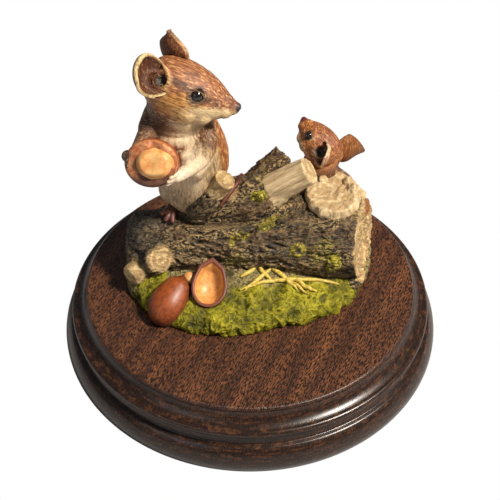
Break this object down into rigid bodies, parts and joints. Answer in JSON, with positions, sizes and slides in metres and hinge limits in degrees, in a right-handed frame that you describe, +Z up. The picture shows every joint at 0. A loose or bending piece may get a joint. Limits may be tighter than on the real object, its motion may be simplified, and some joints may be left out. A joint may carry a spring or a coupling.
{
  "type": "mouse figurine",
  "caption": "Painted resin figurine of wood mice on a mossy fallen log with hazelnut shells, on a round turned wooden plinth; a table ornament.",
  "frame": {"origin": "centre of the underside of the baize pad, on the plinth axis", "axes": "+Z up along the plinth axis; -Y is the front that the picture shows; +X is to the right seen from the front"},
  "size_m": [0.13, 0.13, 0.1196],
  "materials": {
    "mahogany": "satin lacquer",
    "baize": "felted",
    "screw_steel": "bright zinc",
    "moss": "painted resin",
    "grass": "painted resin",
    "bark": "drybrushed resin",
    "bare_wood": "painted resin",
    "fur": "painted resin",
    "ear": "painted resin",
    "skin": "painted resin",
    "eye": "gloss",
    "nut_shell": "satin",
    "nut_kernel": "painted resin"
  },
  "bodies": {
    "root": {"plinth": "mahogany", "baize_pad": "baize", "fixing_screws": "screw_steel", "moss_ground": "moss", "grass_blades": "grass", "log": "bark", "cut_stump": "bare_wood", "bare_branch": "bare_wood", "bark_stub": "bark", "perch_stub": "bare_wood", "knot_stub": "bark", "broken_stub": "bark", "adult_body": "fur", "adult_head": "fur", "adult_left_ear": "ear", "adult_right_ear": "ear", "adult_eyes": "eye", "adult_left_arm": "fur", "adult_right_arm": "fur", "adult_right_foot": "skin", "adult_tail": "skin", "held_nut_shell": "nut_shell", "held_nut_kernel": "nut_kernel", "young_body": "fur", "young_head": "fur", "young_left_ear": "ear", "young_right_ear": "ear", "young_eyes": "eye", "young_left_arm": "fur", "young_right_arm": "fur", "young_tail": "skin", "nut_shell_domed": "nut_shell", "nut_shell_open": "nut_shell", "nut_crumb": "nut_kernel"}
  },
  "joints": []
}
